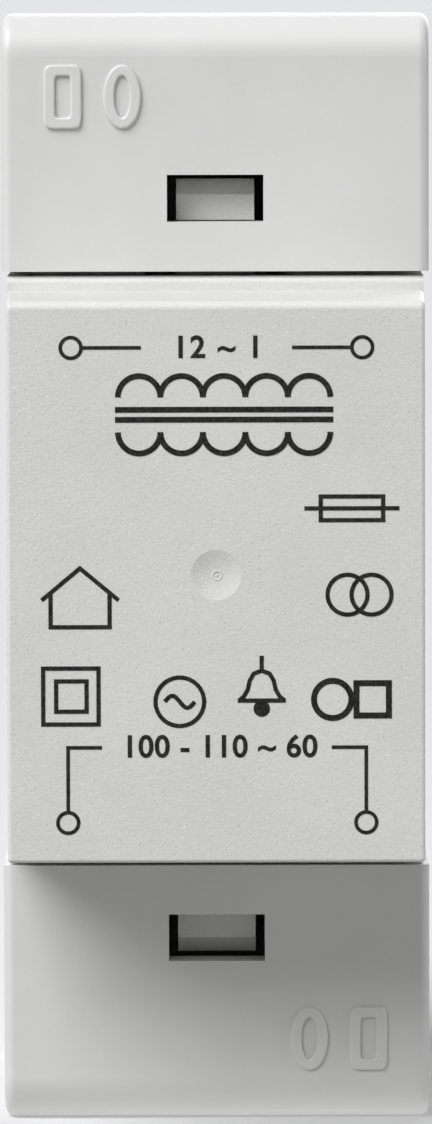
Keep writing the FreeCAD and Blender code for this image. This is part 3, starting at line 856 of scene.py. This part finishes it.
world = bpy.data.worlds.new("surround")
bpy.context.scene.world = world
world.use_nodes = True
sky = world.node_tree
lit_sky = sky.nodes["Background"]
lit_sky.inputs["Color"].default_value = (1.0, 1.0, 1.0, 1.0)
lit_sky.inputs["Strength"].default_value = SKY_STRENGTH
seen_sky = sky.nodes.new("ShaderNodeBackground")
seen_sky.inputs["Color"].default_value = SURROUND
seen_sky.inputs["Strength"].default_value = 1.0
joined = white_to_camera(sky, seen_sky.outputs[0], lit_sky.outputs[0])
sky.links.new(joined, sky.nodes["World Output"].inputs["Surface"])
print("surround strength", SKY_STRENGTH)

# %% [markdown]
# The photograph's light is a large soft box high on the left that half grazes the front: the
# shallow dish is dark on its upper left, and the nose throws a wide soft shadow over the lower
# cover. Two weaker ones, far on the right and behind, only brighten what turns that way. With the
# surround and the floor they put a little less than one unit of light on the front, so a colour
# renders nearly as it is written.

# %% Lamps
LIT_MIDDLE = Vector((0, -0.04, 0))
LAMPS = {
    "key": {"direction": (-0.48, -0.50, 0.72), "distance": 2.4, "size": 1.9, "power": 72.0},
    "side": {"direction": (1.0, -0.05, 0.12), "distance": 1.5, "size": 0.8, "power": 6.0},
    "rear": {"direction": (0.25, 1.0, 0.40), "distance": 2.2, "size": 1.6, "power": 20.0},
}
for name, lamp in LAMPS.items():
    data = bpy.data.lights.new(name, "AREA")
    data.shape = "DISK"
    data.size = lamp["size"]
    data.energy = lamp["power"]
    holder = bpy.data.objects.new(name, data)
    bpy.context.scene.collection.objects.link(holder)
    away = Vector(lamp["direction"]).normalized() * lamp["distance"]
    holder.location = LIT_MIDDLE + away
    holder.rotation_euler = (-away).to_track_quat("-Z", "Y").to_euler()
print("lamps:", ", ".join(LAMPS))

# %% [markdown]
# The floor keeps the shadow close to the object and fades into the surround farther out, for the
# rays that the camera sees: a plain sweep of paper with no horizon. For all other rays it stays a
# diffuse grey, which throws the right amount of light back up. Close round the object's foot it
# glows: a painted glow, not a property of the floor, that stands in for a lamp and lights the
# object's lower edge from below.

# %% Floor
FLOOR_HALF = 3.0
FLOOR_LIT = srgb(145, 146, 142)
FLOOR_SEEN = srgb(222, 222, 224)
FADE_FROM = 0.15
FADE_TO = 0.5
# The glow is painted light: close round the foot the floor emits like a hidden lamp and lights the
# object's lower edge from below.
PAINTED_GLOW_COLOUR = (1.0, 1.0, 0.97, 1.0)
PAINTED_GLOW_REACH = 6.0
PAINTED_GLOW_STRENGTH = 0.95

FLOOR_Z = cad_box[0][2]
floor_mesh = bpy.data.meshes.new("floor")
corners = [(sx * FLOOR_HALF, sy * FLOOR_HALF, FLOOR_Z)
           for sx, sy in ((-1, -1), (1, -1), (1, 1), (-1, 1))]
floor_mesh.from_pydata(corners, [], [(0, 1, 2, 3)])
floor = bpy.data.objects.new("floor", floor_mesh)
bpy.context.scene.collection.objects.link(floor)
pale = Finish("floor_pale", Roughness=0.9)
pale.set("Base Color", FLOOR_LIT)


def distance_from_foot():
    """How far a place on the floor lies outside the object's foot, in millimetres."""
    front, back = COVER_FRONT / MM, cad_box[1][1] / MM
    side = abs(pale.axis("X")) - cad_box[1][0] / MM
    end = abs(pale.axis("Y") - (front + back) / 2) - (back - front) / 2
    side, end = side.at_least(0.0), end.at_least(0.0)
    square = side * side + end * end
    return square.math("SQRT", square)


shadowed = pale.node("ShaderNodeBsdfDiffuse", {}, {"Color": FLOOR_SEEN})
plain = pale.node("ShaderNodeEmission", {}, {"Color": SURROUND})
out = pale.node("ShaderNodeVectorMath", {"operation": "LENGTH"}, {0: pale.place()}, output="Value")
seen_floor = pale.node("ShaderNodeMixShader", {},
                       {0: out.ramp(FADE_FROM, FADE_TO), 1: shadowed, 2: plain})
# Painted glow: emission near the foot that lights the object from below.
painted_glow = pale.node("ShaderNodeEmission", {}, {"Color": PAINTED_GLOW_COLOUR, "Strength": PAINTED_GLOW_STRENGTH})
paper = Signal(pale, pale.shader.outputs[0])
lit_floor = pale.node("ShaderNodeMixShader", {},
                      {0: distance_from_foot().ramp(PAINTED_GLOW_REACH, 0.0), 1: paper, 2: painted_glow})
seen = white_to_camera(pale.tree, seen_floor.socket, lit_floor.socket)
pale.tree.links.new(seen, pale.tree.nodes["Material Output"].inputs["Surface"])
floor_mesh.materials.append(pale.material)
print("floor", 2 * FLOOR_HALF, "m wide at", round(FLOOR_Z / MM, 1), "mm")

# %% [markdown]
# The photograph was taken from the front with a long lens, a few degrees above the middle of the
# object and level with its top. The distance follows from how much nearer the nose looks than
# the covers, and the picture's height at the covers gives the lens.

# %% Camera
IMAGE_HEIGHT = 1124
PICTURE_PIXELS_PER_MM = 12.19
CAMERA_DISTANCE = 0.70
CAMERA_ELEVATION = math.radians(3.72)
CAMERA_ROLL = math.radians(-0.14)
AIM_HEIGHT = 0.58 * MM
NEAR_CLIP = 10 * MM

picture_height = IMAGE_HEIGHT / PICTURE_PIXELS_PER_MM * MM
camera_data = bpy.data.cameras.new("portrait")
camera_data.sensor_fit = "VERTICAL"
camera_data.angle_y = 2 * math.atan(picture_height / 2 / CAMERA_DISTANCE)
camera_data.clip_start = NEAR_CLIP
camera = bpy.data.objects.new("portrait", camera_data)
bpy.context.scene.collection.objects.link(camera)
target = Vector((0, COVER_FRONT, AIM_HEIGHT))
back_off = Vector((0, -math.cos(CAMERA_ELEVATION), math.sin(CAMERA_ELEVATION))) * CAMERA_DISTANCE
camera.location = target + back_off
look = (-back_off).to_track_quat("-Z", "Y").to_matrix().to_4x4()
camera.rotation_euler = (look @ Matrix.Rotation(CAMERA_ROLL, 4, "Z")).to_euler()
bpy.context.scene.camera = camera
bpy.context.scene.view_settings.view_transform = "Standard"
print("lens", round(camera_data.lens, 1), "mm, picture", round(picture_height / MM, 1), "mm high")
